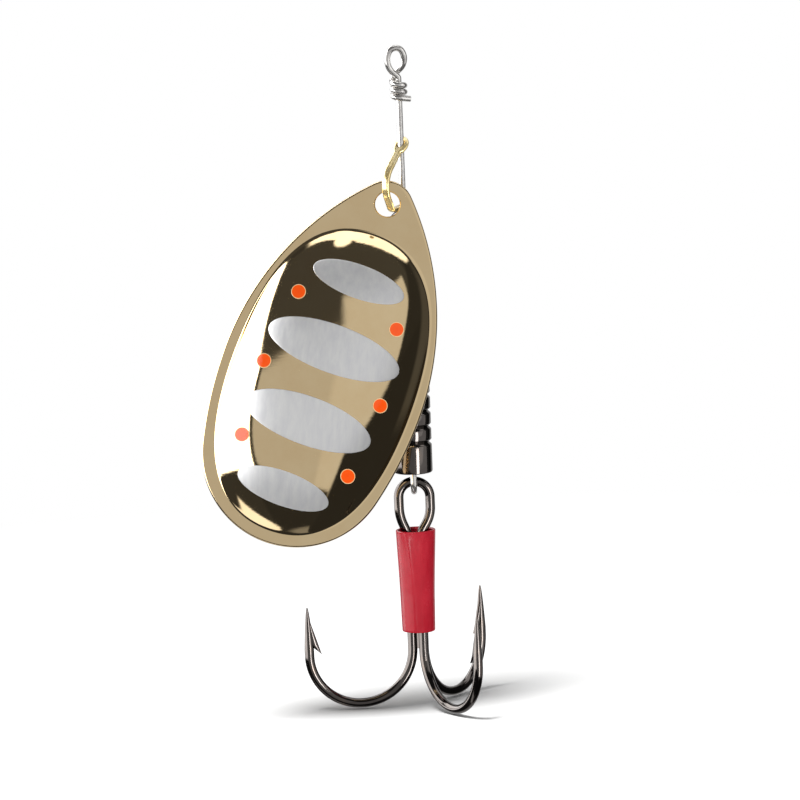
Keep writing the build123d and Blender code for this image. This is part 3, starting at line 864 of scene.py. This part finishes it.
def lights(floor_piece, sleeve_piece, steel_piece, bright_metal):
    """A plain white room. Glossy rays see the cards, and everything else sees even white."""
    world = bpy.data.worlds.new("studio")
    world.use_nodes = True
    tree = world.node_tree
    ray = add(tree, "ShaderNodeLightPath")
    plain = tree.nodes["Background"]
    strength = add(tree, "ShaderNodeMapRange", Value=ray.outputs["Is Camera Ray"], i3=0.95, i4=1.0)
    feed(plain, Color=(1, 1, 1, 1), Strength=strength)
    where = add(tree, "ShaderNodeTexCoord")
    axes = add(tree, "ShaderNodeSeparateXYZ", Vector=where.outputs["Generated"])
    front = add(tree, "ShaderNodeMath", {"operation": "MULTIPLY"}, i0=axes.outputs["Y"], i1=-1.0)
    turn = add(tree, "ShaderNodeMath", {"operation": "ARCTAN2"}, i0=axes.outputs["X"], i1=front)
    turn = add(tree, "ShaderNodeMath", {"operation": "DEGREES"}, i0=turn)
    height = add(tree, "ShaderNodeMath", {"operation": "ARCSINE"}, i0=axes.outputs["Z"])
    height = add(tree, "ShaderNodeMath", {"operation": "DEGREES"}, i0=height)

    def inside(value, low, high, soft):
        """1 between low and high, 0 outside them, with a soft edge on each side."""
        smooth = {"interpolation_type": "SMOOTHSTEP"}
        into = {"i1": low - soft, "i2": low + soft}
        out_of = {"i1": high - soft, "i2": high + soft, "i3": 1.0, "i4": 0.0}
        rise = add(tree, "ShaderNodeMapRange", smooth, Value=value, **into)
        fall = add(tree, "ShaderNodeMapRange", smooth, Value=value, **out_of)
        return add(tree, "ShaderNodeMath", {"operation": "MULTIPLY"}, i0=rise, i1=fall)

    level = add(tree, "ShaderNodeValue")
    level.outputs[0].default_value = ROOM_BRIGHTNESS
    for left, right, low, high, lean, tilt, soft, brightness in CARDS:
        leaning = {"operation": "MULTIPLY_ADD"}
        across = add(tree, "ShaderNodeMath", leaning, i0=height, i1=lean, i2=turn)
        rise = add(tree, "ShaderNodeMath", leaning, i0=turn, i1=tilt, i2=height)
        in_turn = inside(across, left, right, soft)
        in_height = inside(rise, low, high, soft)
        share = add(tree, "ShaderNodeMath", {"operation": "MULTIPLY"}, i0=in_turn, i1=in_height)
        level = add(tree, "ShaderNodeMix", {"data_type": "FLOAT"}, i0=share, i2=level, i3=brightness)
    room = add(tree, "ShaderNodeBackground", Strength=level)
    mixed = add(tree, "ShaderNodeMixShader", i0=ray.outputs["Is Glossy Ray"], i1=plain, i2=room)
    feed(tree.nodes["World Output"], Surface=mixed)
    world.cycles.sampling_method = "NONE"  # the cards are found by the glossy rays alone
    bpy.context.scene.world = world

    def area(name, place, aim, size, energy, receivers, glossy):
        """A soft panel, in metres and watts, that lights its receivers and nothing else."""
        lamp = bpy.data.lights.new(name, "AREA")
        lamp.shape = "RECTANGLE"
        lamp.size, lamp.size_y = size
        lamp.energy = energy
        piece = bpy.data.objects.new(name, lamp)
        piece.location = place
        piece.rotation_euler = (Vector(aim) - piece.location).to_track_quat("-Z", "Y").to_euler()
        piece.visible_glossy = glossy
        piece.visible_camera = False
        bpy.context.scene.collection.objects.link(piece)
        group = bpy.data.collections.new(f"lit_by_{name}")
        for receiver in receivers:
            group.objects.link(receiver)
        piece.light_linking.receiver_collection = group

    foot, sleeve_at, eye, middle = (0.002, 0, -0.064), (0, 0, -0.051), (0, 0, -0.01), (0, 0, -0.04)
    metal = [steel_piece, *bright_metal]
    area("floor_softbox", (-0.115, -0.13, 0.4), foot, (0.13, 0.2), 8.4, [floor_piece], False)
    area("sleeve_strip", (-0.085, -0.28, -0.02), sleeve_at, (0.022, 0.2), 0.7, [sleeve_piece], True)
    area("side_panel", (0.27, -0.13, -0.02), eye, (0.3, 0.4), 0.32, metal, True)
    area("right_strip", (0.145, -0.26, -0.095), middle, (0.08, 0.24), 0.8, bright_metal, True)


def camera():
    """A long lens in front of the blade, a little above it and turned slightly about its own axis."""
    up = radians(9.5)
    roll = radians(2.2)
    across = Vector((1, 0, 0))
    rise = Vector((0, sin(up), cos(up)))
    back = Vector((0, -cos(up), sin(up)))
    right = across * cos(roll) - rise * sin(roll)
    top = across * sin(roll) + rise * cos(roll)
    view = 77.67 * MM  # width of the view at the line eye
    distance = 2000 * MM
    aim = right * 0.233 * MM - top * 32.96 * MM  # middle of the view from the middle of the line eye
    place = Matrix((right, top, back)).transposed().to_4x4()
    place.translation = aim + back * distance
    lens = bpy.data.cameras.new("camera")
    lens.sensor_width = 36
    lens.lens = 36 * distance / view
    lens.clip_start = 0.01
    piece = bpy.data.objects.new("camera", lens)
    piece.matrix_world = place
    bpy.context.scene.collection.objects.link(piece)
    bpy.context.scene.camera = piece


BRIGHT_METAL = (
    "clevis_strip",
    "bead_turned",
    "weight_turned",
    "hook_pair_wire",
    "hook_single_wire",
    "barb_left",
    "barb_front",
    "barb_rear",
)
pieces = bpy.data.objects
bright = [pieces[name] for name in BRIGHT_METAL]
lights(floor(), pieces["sleeve_tube"], pieces["shaft_wire_bent"], bright)
camera()
bpy.context.scene.view_settings.view_transform = "Standard"
